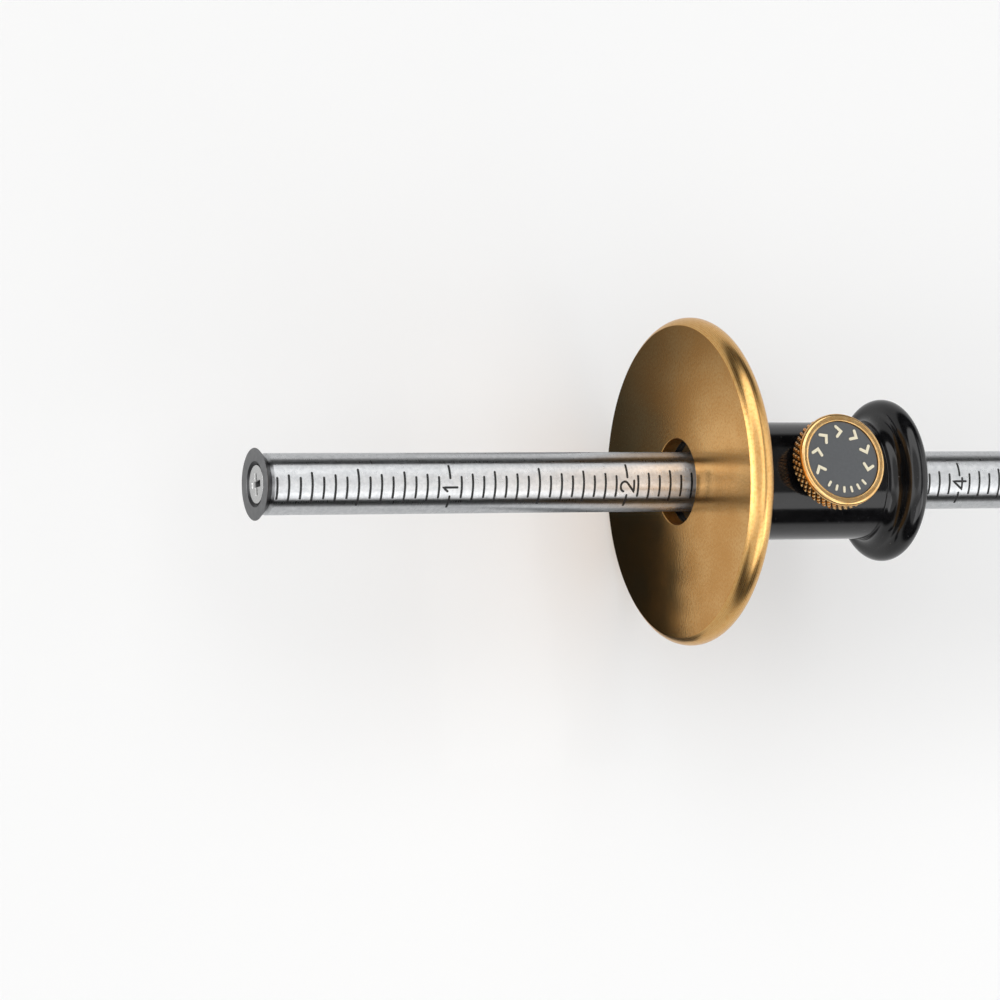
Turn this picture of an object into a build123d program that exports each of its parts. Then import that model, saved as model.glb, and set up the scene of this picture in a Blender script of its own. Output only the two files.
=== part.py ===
from build123d import *
import math
import os

# Wheel marking gauge. A steel rod with a small cutting wheel on its end slides
# through a round brass fence on an anodised hub, and a knurled knob locks it.
# Frame: millimetres, +X along the rod from the cutter towards the tail, +Z up
# along the lock knob's axis. The origin is the centre of the fence's front face.

# ---------------------------------------------------------------- driving sizes
inch = 25.4

rod_diameter = 5 / 16 * inch
rod_length = 7 * inch
rod_nose_chamfer = 0.35
rod_tail_chamfer = 0.5
cutter_setting = 60.0  # from the fence's face to the cutter's face, as drawn

fence_diameter = 43.8
fence_thickness = 3.4
fence_rim_radius = 1.9  # bulge of the rounded edge
cutter_pocket_diameter = 11.5  # recess that the cutting wheel withdraws into
cutter_pocket_depth = 2.5

hub_diameter = 5 / 8 * inch
hub_length = 24.5  # from the fence's back to the seam with the grip collar
front_spigot_diameter = 13.5
front_spigot_length = 1.4
rear_spigot_length = 2.2

collar_diameter = 22.1
collar_land_length = 0.5  # short cylinder behind the seam
collar_cove_radius = 1.4
collar_rim_radius = 1.6
collar_lip_thickness = 1.0
seam_chamfer = 0.12

o_ring_section = 1.78
o_ring_end_play = 0.06

cutter_diameter = 9.3
cutter_thickness = 1.0
cutter_bevel_width = 1.05  # radial width of the ground bevel
cutter_mouth_diameter = 6.0  # wide chamfer round the screw's head

screw_thread_diameter = 2.84
screw_head_diameter = 4.94
screw_head_sink = 0.2  # below the wheel's face
screw_head_rim = 0.15
screw_cone_half_angle = 41.0
screw_length = 9.0
cross_recess_span = 2.9
cross_recess_width = 0.8
cross_recess_depth = 1.3
cross_recess_taper = 12.0

knob_position = 19.3  # knob axis behind the fence's face
knob_diameter = 12.7
knob_height = 3.0
knob_gap = 0.55  # between the knob and the hub's crest, knob tight
knob_bottom_chamfer = 0.35
knob_lip_radius = 0.5
badge_diameter = 10.5
badge_thickness = 0.6
badge_sink = 0.25  # below the knob's lip

stud_diameter = 4.166
stud_seat_depth = 1.7
pad_height = 1.6
cross_hole_chamfer = 0.3

# --------------------------------------------------------------- named clearances
running_clearance = 0.04  # radial, rod in its bore
thread_clearance = 0.05  # radial, plain stand-in for a screw thread
bonded_clearance = 0.01  # radial, pressed and bonded seats
o_ring_clearance = 0.02  # radial, ring to rod
gland_clearance = 0.23  # radial, ring to the floor of its groove
pad_clearance = 0.13  # radial, pad in the cross hole
pad_gap = 0.02  # pad to rod, knob tight
cone_clearance = 0.05  # cutter and rod to the screw's cone

# ------------------------------------------------------------------ derived places
rod_radius = rod_diameter / 2
bore_radius = rod_radius + running_clearance
hub_radius = hub_diameter / 2
rear_spigot_radius = rod_radius + o_ring_clearance + o_ring_section + gland_clearance
hub_front_x = fence_thickness
seam_x = hub_front_x + hub_length
hub_rear_x = seam_x + rear_spigot_length
gland_rear_x = hub_rear_x + o_ring_section + 2 * o_ring_end_play
collar_rear_x = gland_rear_x + collar_lip_thickness

cutter_face_x = -cutter_setting
rod_front_x = cutter_face_x + cutter_thickness
screw_face_x = cutter_face_x + screw_head_sink
cone_start_x = screw_face_x + screw_head_rim
cone_slope = math.tan(math.radians(screw_cone_half_angle))
head_radius = screw_head_diameter / 2
thread_radius = screw_thread_diameter / 2
cone_end_x = cone_start_x + (head_radius - thread_radius) / cone_slope
screw_tip_x = cone_start_x + screw_length

pad_bottom_z = rod_radius + pad_gap
pad_top_z = pad_bottom_z + pad_height
knob_bottom_z = hub_radius + knob_gap
knob_top_z = knob_bottom_z + knob_height
badge_top_z = knob_top_z - badge_sink
badge_bottom_z = badge_top_z - badge_thickness
stud_top_z = knob_bottom_z + stud_seat_depth

rod_axis = Axis.X
knob_plane = Plane(origin=(knob_position, 0, 0), x_dir=(1, 0, 0), z_dir=(0, -1, 0))
knob_axis = Axis((knob_position, 0, 0), (0, 0, 1))


def export(piece, node):
    """Label a finished piece and write it under its node's name."""
    piece.part.label = node
    export_step(piece.part, f"parts/{node}.step")


os.makedirs("parts", exist_ok=True)

# ---------------------------------------------------------------------- fence disc
# Turned brass disc: flat reference face, rounded edge, pocket for the cutter in
# front and a seat for the hub's spigot behind.
fence_radius = fence_diameter / 2
pocket_radius = cutter_pocket_diameter / 2
front_spigot_radius = front_spigot_diameter / 2
spigot_face_x = fence_thickness - front_spigot_length
half_thickness = fence_thickness / 2
rim_drop = fence_rim_radius - math.sqrt(fence_rim_radius**2 - half_thickness**2)
crease_radius = fence_radius - rim_drop
pocket_edge_break = 0.1

with BuildPart() as fence_disc:
    with BuildSketch(Plane.XZ):
        with BuildLine():
            Polyline(
                (0, crease_radius),
                (0, pocket_radius + pocket_edge_break),
                (pocket_edge_break, pocket_radius),
                (spigot_face_x, pocket_radius),
                (spigot_face_x, front_spigot_radius),
                (fence_thickness, front_spigot_radius),
                (fence_thickness, crease_radius),
            )
            ThreePointArc(
                (fence_thickness, crease_radius),
                (half_thickness, fence_radius),
                (0, crease_radius),
            )
        make_face()
    revolve(axis=rod_axis)
export(fence_disc, "fence_disc")

# ---------------------------------------------------------------------- hub sleeve
# Black anodised sleeve: bored for the rod, spigots at both ends, and a cross hole
# for the lock stud and its pad.
front_seat_radius = front_spigot_radius - bonded_clearance
rear_seat_radius = rear_spigot_radius - bonded_clearance
stud_radius = stud_diameter / 2
cross_hole_radius = stud_radius + thread_clearance

with BuildPart() as hub_sleeve:
    with BuildSketch(Plane.XZ):
        with BuildLine():
            Polyline(
                (spigot_face_x, pocket_radius),
                (spigot_face_x, front_seat_radius),
                (hub_front_x, front_seat_radius),
                (hub_front_x, hub_radius),
                (seam_x - seam_chamfer, hub_radius),
                (seam_x, hub_radius - seam_chamfer),
                (seam_x, rear_seat_radius),
                (hub_rear_x, rear_seat_radius),
                (hub_rear_x, bore_radius),
                (cutter_pocket_depth, bore_radius),
                (cutter_pocket_depth, pocket_radius),
                close=True,
            )
        make_face()
    revolve(axis=rod_axis)
    with BuildSketch(Plane.XY.offset(hub_diameter)):
        with Locations((knob_position, 0)):
            Circle(cross_hole_radius)
    extrude(amount=-hub_diameter, mode=Mode.SUBTRACT)
    with BuildSketch(knob_plane):
        with BuildLine():
            Polyline(
                (0, hub_radius + cross_hole_chamfer),
                (cross_hole_radius + 2 * cross_hole_chamfer, hub_radius + cross_hole_chamfer),
                (cross_hole_radius, hub_radius - cross_hole_chamfer),
                (0, hub_radius - cross_hole_chamfer),
                close=True,
            )
        make_face()
    revolve(axis=knob_axis, mode=Mode.SUBTRACT)
export(hub_sleeve, "hub_sleeve")

# --------------------------------------------------------------------- grip collar
# Black anodised collar bonded on the hub's rear spigot. Its swept cove rises into a
# rounded finger rim, and its lip closes the groove of the O-ring.
collar_radius = collar_diameter / 2
land_end_x = seam_x + collar_land_length
cove_end_x = land_end_x + collar_cove_radius
cove_top_r = hub_radius + collar_cove_radius
rim_centre_r = collar_radius - collar_rim_radius
rim_centre_x = cove_end_x + collar_rim_radius
rim_rear_x = rim_centre_x + collar_rim_radius
cove_middle_x = land_end_x + collar_cove_radius * math.sin(math.radians(45))
cove_middle_r = cove_top_r - collar_cove_radius * math.cos(math.radians(45))
lip_break = 0.2

with BuildPart() as grip_collar:
    with BuildSketch(Plane.XZ):
        with BuildLine():
            Polyline(
                (seam_x, rear_spigot_radius),
                (seam_x, hub_radius - seam_chamfer),
                (seam_x + seam_chamfer, hub_radius),
                (land_end_x, hub_radius),
            )
            ThreePointArc(
                (land_end_x, hub_radius), (cove_middle_x, cove_middle_r), (cove_end_x, cove_top_r)
            )
            Line((cove_end_x, cove_top_r), (cove_end_x, rim_centre_r))
            ThreePointArc(
                (cove_end_x, rim_centre_r), (rim_centre_x, collar_radius), (rim_rear_x, rim_centre_r)
            )
            Polyline(
                (rim_rear_x, rim_centre_r),
                (collar_rear_x, rear_spigot_radius),
                (collar_rear_x, bore_radius + lip_break),
                (collar_rear_x - lip_break, bore_radius),
                (gland_rear_x, bore_radius),
                (gland_rear_x, rear_spigot_radius),
                (seam_x, rear_spigot_radius),
            )
        make_face()
    revolve(axis=rod_axis)
export(grip_collar, "grip_collar")

# -------------------------------------------------------------------------- O-ring
# Rubber ring loose in its groove, gripping the rod so that it can't drop out.
ring_section_radius = o_ring_section / 2
ring_centre_r = rod_radius + o_ring_clearance + ring_section_radius
ring_centre_x = (hub_rear_x + gland_rear_x) / 2

with BuildPart() as o_ring:
    with BuildSketch(Plane.XZ):
        with Locations((ring_centre_x, ring_centre_r)):
            Circle(ring_section_radius)
    revolve(axis=rod_axis)
export(o_ring, "o_ring")

# ----------------------------------------------------------------------------- rod
# Ground steel rod, countersunk and tapped at its front end for the cutter's screw.
screw_hole_radius = thread_radius + thread_clearance
cone_mouth_radius = head_radius + cone_clearance - (rod_front_x - cone_start_x) * cone_slope
cone_bottom_x = rod_front_x + (cone_mouth_radius - screw_hole_radius) / cone_slope
screw_hole_end_x = screw_tip_x + 1.0

with BuildPart() as rod:
    with BuildSketch(Plane.YZ.offset(rod_front_x)):
        Circle(rod_radius)
    extrude(amount=rod_length)
    ends = rod.edges().filter_by(GeomType.CIRCLE).sort_by(Axis.X)
    chamfer(ends[0], rod_nose_chamfer)
    chamfer(ends[-1], rod_tail_chamfer)
    with BuildSketch(Plane.XZ):
        with BuildLine():
            Polyline(
                (rod_front_x, 0),
                (rod_front_x, cone_mouth_radius),
                (cone_bottom_x, screw_hole_radius),
                (screw_hole_end_x, screw_hole_radius),
                (screw_hole_end_x, 0),
                close=True,
            )
        make_face()
    revolve(axis=rod_axis, mode=Mode.SUBTRACT)
export(rod, "rod")

# --------------------------------------------------------------------- cutter wheel
# Hardened steel wheel, flat outside and bevelled inside, so that its edge stands in
# the plane of its outer face.
cutter_radius = cutter_diameter / 2
mouth_radius = cutter_mouth_diameter / 2

with BuildPart() as cutter_wheel:
    with BuildSketch(Plane.XZ):
        with BuildLine():
            Polyline(
                (cutter_face_x, mouth_radius),
                (cutter_face_x, cutter_radius),
                (rod_front_x, cutter_radius - cutter_bevel_width),
                (rod_front_x, cone_mouth_radius),
                (cone_start_x, head_radius + cone_clearance),
                close=True,
            )
        make_face()
    revolve(axis=rod_axis)
export(cutter_wheel, "cutter_wheel")

# --------------------------------------------------------------------- cutter screw
# Countersunk cross-recess screw that clamps the wheel on the rod's end.
with BuildPart() as cutter_screw:
    with BuildSketch(Plane.XZ):
        with BuildLine():
            Polyline(
                (screw_face_x, 0),
                (screw_face_x, head_radius),
                (cone_start_x, head_radius),
                (cone_end_x, thread_radius),
                (screw_tip_x, thread_radius),
                (screw_tip_x, 0),
                close=True,
            )
        make_face()
    revolve(axis=rod_axis)
    for turn in (0, 90):
        with BuildSketch(Plane.YZ.offset(screw_face_x)):
            Rectangle(cross_recess_span, cross_recess_width, rotation=turn)
        extrude(amount=cross_recess_depth, taper=cross_recess_taper, mode=Mode.SUBTRACT)
export(cutter_screw, "cutter_screw")

# ----------------------------------------------------------------------- lock knob
# Turned brass knob with a rounded lip round the badge and a blind seat for the stud.
# Its plain side is drawn at the knurl's outer diameter.
knob_radius = knob_diameter / 2
badge_radius = badge_diameter / 2
badge_seat_radius = badge_radius + bonded_clearance
stud_seat_radius = stud_radius + bonded_clearance
lip_flat_radius = knob_radius - knob_lip_radius

with BuildPart() as lock_knob:
    with BuildSketch(knob_plane):
        with BuildLine():
            Polyline(
                (lip_flat_radius, knob_top_z),
                (badge_seat_radius, knob_top_z),
                (badge_seat_radius, badge_bottom_z),
                (0, badge_bottom_z),
                (0, stud_top_z),
                (stud_seat_radius, stud_top_z),
                (stud_seat_radius, knob_bottom_z),
                (knob_radius - knob_bottom_chamfer, knob_bottom_z),
                (knob_radius, knob_bottom_z + knob_bottom_chamfer),
                (knob_radius, knob_top_z - knob_lip_radius),
            )
            RadiusArc(
                (knob_radius, knob_top_z - knob_lip_radius),
                (lip_flat_radius, knob_top_z),
                -knob_lip_radius,
            )
        make_face()
    revolve(axis=knob_axis)
export(lock_knob, "lock_knob")

# ----------------------------------------------------------------------- knob badge
# Thin grey disc bonded in the knob's recess.
with BuildPart() as knob_badge:
    with BuildSketch(Plane.XY.offset(badge_bottom_z)):
        with Locations((knob_position, 0)):
            Circle(badge_radius)
    extrude(amount=badge_thickness)
export(knob_badge, "knob_badge")

# ------------------------------------------------------------------------ lock stud
# Threaded steel stud pressed into the knob, drawn at its thread's outer diameter.
stud_tip_chamfer = 0.4

with BuildPart() as lock_stud:
    with BuildSketch(Plane.XY.offset(pad_top_z)):
        with Locations((knob_position, 0)):
            Circle(stud_radius)
    extrude(amount=stud_top_z - pad_top_z)
    chamfer(lock_stud.edges().filter_by(GeomType.CIRCLE).sort_by(Axis.Z)[0], stud_tip_chamfer)
export(lock_stud, "lock_stud")

# --------------------------------------------------------------------- pressure pad
# Nylon slug between the stud and the rod, hollowed underneath to the rod's curve.
with BuildPart() as pressure_pad:
    with BuildSketch(Plane.XY):
        with Locations((knob_position, 0)):
            Circle(cross_hole_radius - pad_clearance)
    extrude(amount=pad_top_z)
    with BuildSketch(Plane.YZ):
        Circle(pad_bottom_z)
    extrude(amount=2 * knob_position, mode=Mode.SUBTRACT)
export(pressure_pad, "pressure_pad")
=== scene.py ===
import math

import bpy
import numpy as np
from mathutils import Matrix, Vector


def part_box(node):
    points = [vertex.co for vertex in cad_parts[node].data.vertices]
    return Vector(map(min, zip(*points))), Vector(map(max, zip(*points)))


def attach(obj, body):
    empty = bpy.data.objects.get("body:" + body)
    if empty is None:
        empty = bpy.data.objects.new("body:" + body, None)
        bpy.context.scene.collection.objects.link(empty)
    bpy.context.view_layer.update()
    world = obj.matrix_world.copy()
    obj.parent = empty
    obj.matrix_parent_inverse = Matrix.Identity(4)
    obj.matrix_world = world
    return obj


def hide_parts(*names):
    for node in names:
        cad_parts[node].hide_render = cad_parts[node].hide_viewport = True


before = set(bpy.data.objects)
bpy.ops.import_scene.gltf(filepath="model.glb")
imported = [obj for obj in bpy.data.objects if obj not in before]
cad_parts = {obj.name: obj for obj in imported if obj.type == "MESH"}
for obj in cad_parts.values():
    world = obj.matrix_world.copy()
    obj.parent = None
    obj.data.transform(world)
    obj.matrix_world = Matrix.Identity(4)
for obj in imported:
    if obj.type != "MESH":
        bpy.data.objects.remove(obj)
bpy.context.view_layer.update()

# ---------------------------------------------------------------- fence disc
# The reference face that runs along the work: a brass disc, turned from bar, lapped flat on both
# faces and polished on its rounded edge. It is bored for the cutter's pocket and the hub's spigot.
mm = 0.001
fence_low, fence_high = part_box("fence_disc")
fence_radius = fence_high.z
fence_back = fence_high.x
fence_edge_bulge = 1.9 * mm
fence_crease_break = 0.05 * mm
pocket_radius = 5.75 * mm
spigot_radius = 6.75 * mm
spigot_length = 1.4 * mm
lapped_skin = 0.03 * mm  # how deep from the flat faces the lapped finish reaches
bored_roughness = 0.34
lapped_grain_depth = 0.013 * mm
brass_light = (0.87, 0.52, 0.19)
brass_deep = (0.76, 0.38, 0.10)
along_rod = np.array([[0, 1, 0], [0, 0, 1], [1, 0, 0]])


def arc(centre, radius, start, end, count=15):
    """Points at centre + radius (cos a, sin a), with a going evenly from start to end degrees.

    A pair of radii makes it an ellipse's arc."""
    a = np.radians(np.linspace(start, end, count))
    return np.array(centre) + np.array(radius) * np.stack([np.cos(a), np.sin(a)], axis=1)


def rounded(corners, radii):
    """A closed outline with each corner turned into an arc of its own radius.

    The arc touches both sides at radius x tan(half the turn) from the corner and is walked in equal
    steps. One more point just off each end of it keeps the shading of the flat side flat."""
    corners = np.asarray(corners, float)
    points = []
    for i, radius in enumerate(radii):
        corner = corners[i]
        before = corner - corners[i - 1]
        after = corners[(i + 1) % len(corners)] - corner
        length_in, length_out = np.hypot(*before), np.hypot(*after)
        before, after = before / length_in, after / length_out
        turn = math.atan2(before[0] * after[1] - before[1] * after[0], before @ after)
        if not radius or abs(turn) < 0.02:
            points.append(corner[None])
            continue
        reach = radius * math.tan(abs(turn) / 2)
        start = corner - before * reach
        inward = math.copysign(1, turn) * np.array([-before[1], before[0]])
        a = np.linspace(0, abs(turn), max(3, round(math.degrees(abs(turn)) / 15) + 1))[:, None]
        bend = start + inward * radius * (1 - np.cos(a)) + before * radius * np.sin(a)
        guard_in = min(0.05 * mm, 0.3 * (length_in - reach))
        guard_out = min(0.05 * mm, 0.3 * (length_out - reach))
        points += [bend[:1] - before * guard_in, bend, bend[-1:] + after * guard_out]
    return np.concatenate(points)


def skin(name, grids, loop):
    """One mesh from grids of points: each cell between neighbours in a grid is a face.

    Columns join up, the last to the first. Rows join up too where loop is true, and otherwise the
    first and last row are poles, each a single vertex. The volume that a grid encloses, the sum of
    a . (b x c) / 6 over its triangles, says by its sign which way round its faces go."""
    vertices, faces, count = [], [], 0
    for grid in grids:
        rows, columns = grid.shape[:2]
        index = np.arange(rows * columns).reshape(rows, columns)
        if not loop:
            index[0], index[-1] = index[0, 0], index[-1, 0]
        near = index if loop else index[:-1]
        far = np.roll(index, -1, axis=0) if loop else index[1:]
        cells = np.stack([near, far, np.roll(far, -1, axis=1), np.roll(near, -1, axis=1)], axis=-1)
        points = grid.reshape(-1, 3)
        a, b, c, d = (points[cells[..., k]] for k in range(4))
        volume = np.sum(a * np.cross(b, c)) + np.sum(a * np.cross(c, d))
        used, place = np.unique(cells, return_inverse=True)
        cells = place.reshape(cells.shape) + count
        whole = cells if loop else cells[1:-1]
        sets = [whole.reshape(-1, 4)]
        if not loop:
            sets += [cells[0][:, [0, 1, 2]], cells[-1][:, [0, 1, 3]]]
        for each in sets:
            faces += (each if volume > 0 else each[:, ::-1]).tolist()
        vertices.append(points[used])
        count += len(used)
    mesh = bpy.data.meshes.new(name)
    mesh.from_pydata(np.concatenate(vertices).tolist(), [], faces)
    mesh.polygons.foreach_set("use_smooth", np.ones(len(faces), bool))
    mesh.set_sharp_from_angle(angle=math.radians(38))
    mesh.update()
    piece = bpy.data.objects.new(name, mesh)
    bpy.context.scene.collection.objects.link(piece)
    return piece


def turned(name, outline, sides, directions=along_rod, centre=(0, 0, 0)):
    """The outline (distance along the axis, radius) carried once round the axis.

    Point (i, j) stands at along[i] on the axis and at radius[i] (cos t, sin t) across it, where t is
    j / sides of a full turn. An outline that starts on the axis ends there too and closes at poles."""
    along, radius = outline[:, 0, None], outline[:, 1, None]
    t = np.linspace(0, 2 * np.pi, sides, endpoint=False)
    local = np.stack(np.broadcast_arrays(radius * np.cos(t), radius * np.sin(t), along), axis=-1)
    return skin(name, [local @ directions + np.array(centre)], loop=outline[0, 1] > 0)


def finish(name, colour, metallic, roughness):
    """A new material with its node tree and its Principled shader, set to plain values."""
    made = bpy.data.materials.new(name)
    made.use_nodes = True
    shader = made.node_tree.nodes["Principled BSDF"]
    shader.inputs["Base Color"].default_value = (*colour, 1)
    shader.inputs["Metallic"].default_value = metallic
    shader.inputs["Roughness"].default_value = roughness
    return made, made.node_tree, shader


def node(tree, kind, inputs, **settings):
    """A new node: settings are its properties, inputs its sockets, each joined to another or set."""
    made = tree.nodes.new(kind)
    for key, value in settings.items():
        setattr(made, key, value)
    for key, value in inputs.items():
        if isinstance(value, bpy.types.NodeSocket):
            tree.links.new(value, made.inputs[key])
        else:
            made.inputs[key].default_value = value
    return made


def sums(tree, operation, a, b=0.0):
    """The output of one Math node."""
    return node(tree, "ShaderNodeMath", {0: a, 1: b}, operation=operation).outputs[0]


def span(tree, value, low, high, to_low=0.0, to_high=1.0):
    """A value moved from the range low to high into the range to_low to to_high, and kept there."""
    inputs = {"Value": value, "From Min": low, "From Max": high, "To Min": to_low, "To Max": to_high}
    return node(tree, "ShaderNodeMapRange", inputs).outputs[0]


def speckle(tree, scale, detail=3.0, roughness=0.55, stretch=(1, 1, 1)):
    """Noise on the piece's own coordinates, with about `scale` features to the metre."""
    place = node(tree, "ShaderNodeTexCoord", {}).outputs["Object"]
    place = node(tree, "ShaderNodeMapping", {"Vector": place, "Scale": stretch}).outputs[0]
    inputs = {"Vector": place, "Scale": scale, "Detail": detail, "Roughness": roughness}
    return node(tree, "ShaderNodeTexNoise", inputs).outputs[0]


def from_axis(tree, axis="X", centre=0.0):
    """A point's coordinates on the piece, and its distance from the X axis or an upright one."""
    place = node(tree, "ShaderNodeTexCoord", {}).outputs["Object"]
    offset = (0, 0, 0) if axis == "X" else (-centre, 0, 0)
    place = node(tree, "ShaderNodeMapping", {"Vector": place, "Location": offset}).outputs[0]
    split = node(tree, "ShaderNodeSeparateXYZ", {"Vector": place}).outputs
    across = ("Y", "Z") if axis == "X" else ("X", "Y")
    flat = node(tree, "ShaderNodeCombineXYZ", {"X": split[across[0]], "Y": split[across[1]]})
    radius = node(tree, "ShaderNodeVectorMath", {0: flat.outputs[0]}, operation="LENGTH").outputs["Value"]
    return split, radius


def turning_marks(tree, pitch, axis="X", centre=0.0):
    """Fine rings left by a lathe: noise that changes along the axis and across it, but not round it.

    It reads the point (distance along the axis, distance from the axis, 0) at 1 / pitch to the metre."""
    place, radius = from_axis(tree, axis, centre)
    at = node(tree, "ShaderNodeCombineXYZ", {"X": place[axis], "Y": radius}).outputs[0]
    inputs = {"Vector": at, "Scale": 1 / pitch, "Detail": 2.0, "Roughness": 0.6}
    return node(tree, "ShaderNodeTexNoise", inputs).outputs[0]


def mixed_colour(tree, factor, a, b):
    """The colour output of a mix of two plain colours."""
    mix = tree.nodes.new("ShaderNodeMix")
    mix.data_type = "RGBA"
    tree.links.new(factor, mix.inputs[0])
    for socket, value in ((mix.inputs[6], a), (mix.inputs[7], b)):
        if isinstance(value, bpy.types.NodeSocket):
            tree.links.new(value, socket)
        else:
            socket.default_value = (*value, 1)
    return mix.outputs[2]


def mixed_value(tree, factor, a, b):
    """The output of a mix of two numbers."""
    return node(tree, "ShaderNodeMix", {0: factor, 2: a, 3: b}, data_type="FLOAT").outputs[0]


def relief(tree, shader, height, depth, under=None):
    """Bump on a shader: height 0 to 1 stands for 0 to depth metres, on top of another bump if given."""
    inputs = {"Height": height, "Distance": depth, "Strength": 1.0}
    if under is not None:
        inputs["Normal"] = under
    bump = node(tree, "ShaderNodeBump", inputs).outputs[0]
    tree.links.new(bump, shader.inputs["Normal"])
    return bump


def lapped_brass():
    """Brass with a cloudy lapped face and a brighter, finely turned edge."""
    made, tree, shader = finish("lapped_brass", brass_light, 1.0, 0.25)
    marks = turning_marks(tree, 0.06 * mm)
    place, radius = from_axis(tree)
    from_middle = sums(tree, "ABSOLUTE", sums(tree, "SUBTRACT", place["X"], fence_back / 2))
    on_face = sums(tree, "GREATER_THAN", from_middle, fence_back / 2 - lapped_skin)
    in_pocket = sums(tree, "LESS_THAN", radius, spigot_radius)
    clouds = speckle(tree, 150, detail=1.5)
    grain = speckle(tree, 2600, detail=3.0, roughness=0.6)
    tarnish = sums(tree, "MULTIPLY", span(tree, clouds, 0.25, 0.75), on_face)
    tarnish = sums(tree, "ADD", tarnish, sums(tree, "MULTIPLY", span(tree, grain, 0.45, 0.70), 0.8))
    colour = mixed_colour(tree, tarnish, brass_light, brass_deep)
    tree.links.new(colour, shader.inputs["Base Color"])
    face_gloss = span(tree, clouds, 0.3, 0.7, 0.15, 0.22)
    edge_gloss = span(tree, marks, 0.3, 0.7, 0.22, 0.32)
    gloss = mixed_value(tree, on_face, edge_gloss, face_gloss)
    bored = sums(tree, "MULTIPLY", in_pocket, sums(tree, "SUBTRACT", 1.0, on_face))
    tree.links.new(mixed_value(tree, bored, gloss, bored_roughness), shader.inputs["Roughness"])
    under = relief(tree, shader, sums(tree, "MULTIPLY", grain, on_face), lapped_grain_depth)
    relief(tree, shader, marks, 0.4e-6, under)
    return made


crease_angle = math.degrees(math.asin(fence_back / 2 / fence_edge_bulge))
bulge_centre = (fence_back / 2, fence_radius - fence_edge_bulge)
fence_edge = arc(bulge_centre, fence_edge_bulge, 90 + crease_angle, 90 - crease_angle, 41)
fence_outline = rounded(
    np.concatenate([
        [(0, pocket_radius)],
        fence_edge,
        [
            (fence_back, spigot_radius),
            (fence_back - spigot_length, spigot_radius),
            (fence_back - spigot_length, pocket_radius),
        ],
    ]),
    [0.1 * mm, fence_crease_break] + [0] * (len(fence_edge) - 2) + [fence_crease_break] + [0.05 * mm] * 3,
)
fence = turned("fence_plate", fence_outline, sides=288)
fence.data.materials.append(lapped_brass())
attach(fence, "head")
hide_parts("fence_disc")

# ---------------------------------------------------------------- hub sleeve
# Aluminium sleeve that carries the fence and the knob: turned, reamed for the rod, drilled and
# countersunk across for the lock stud, and anodised glossy black.
hub_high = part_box("hub_sleeve")[1]
stud_low, stud_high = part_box("lock_stud")
hub_radius = hub_high.z
hub_rear = hub_high.x
rod_gap = 0.04 * mm
stud_gap = 0.05 * mm
spigot_gap = 0.01 * mm
bore_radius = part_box("rod")[1].z + rod_gap
rear_spigot_length = 2.2 * mm
seam_x = hub_rear - rear_spigot_length
rear_spigot_radius = 5.99 * mm
pocket_depth = 2.5 * mm
seam_break = 0.12 * mm
knob_x = (stud_low.x + stud_high.x) / 2
cross_hole_radius = stud_high.y + stud_gap
cross_hole_countersink = 0.3 * mm
up_knob = np.array([[1, 0, 0], [0, 1, 0], [0, 0, 1]])


def black_anodised():
    """Glossy black anodising with faint turning marks, a few dust specks and a slightly worn sheen."""
    made, tree, shader = finish("black_anodised", (0.006, 0.006, 0.0065), 0.0, 0.12)
    marks = turning_marks(tree, 0.09 * mm)
    wear = speckle(tree, 700, detail=6.0, roughness=0.7)
    specks = span(tree, speckle(tree, 5200, detail=1.0), 0.76, 0.80)
    colour = mixed_colour(tree, span(tree, wear, 0.4, 0.7), (0.004, 0.004, 0.0045), (0.009, 0.009, 0.010))
    colour = mixed_colour(tree, specks, colour, (0.16, 0.16, 0.16))
    tree.links.new(colour, shader.inputs["Base Color"])
    gloss = span(tree, wear, 0.3, 0.7, 0.07, 0.13)
    gloss = sums(tree, "ADD", gloss, span(tree, marks, 0.3, 0.7, 0.0, 0.04))
    tree.links.new(gloss, shader.inputs["Roughness"])
    relief(tree, shader, marks, 0.5e-6)
    return made


hub_outline = rounded(
    [
        (fence_back - spigot_length, pocket_radius),
        (fence_back - spigot_length, spigot_radius - spigot_gap),
        (fence_back, spigot_radius - spigot_gap),
        (fence_back, hub_radius),
        (seam_x, hub_radius),
        (seam_x, rear_spigot_radius),
        (hub_rear, rear_spigot_radius),
        (hub_rear, bore_radius),
        (pocket_depth, bore_radius),
        (pocket_depth, pocket_radius),
    ],
    [0.03 * mm] * 3 + [0.05 * mm, seam_break] + [0.03 * mm] * 3 + [0.15 * mm, 0.03 * mm],
)
hub = turned("hub_body", hub_outline, sides=224)
drill_outline = np.array([
    (0, 0),
    (0, cross_hole_radius),
    (hub_radius - cross_hole_countersink, cross_hole_radius),
    (hub_radius + cross_hole_countersink, cross_hole_radius + 2 * cross_hole_countersink),
    (hub_radius + cross_hole_countersink, 0),
])
drill = turned("cross_hole_drill", drill_outline, 96, up_knob, (knob_x, 0, 0))
drilling = hub.modifiers.new("cross_hole", "BOOLEAN")
drilling.operation = "DIFFERENCE"
drilling.solver = "EXACT"
drilling.object = drill
bpy.context.view_layer.objects.active = hub
bpy.ops.object.modifier_apply(modifier="cross_hole")
bpy.data.objects.remove(drill)
hub.data.set_sharp_from_angle(angle=math.radians(30))
hub.data.materials.clear()
anodised = black_anodised()
hub.data.materials.append(anodised)
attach(hub, "head")
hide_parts("hub_sleeve")

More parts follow.
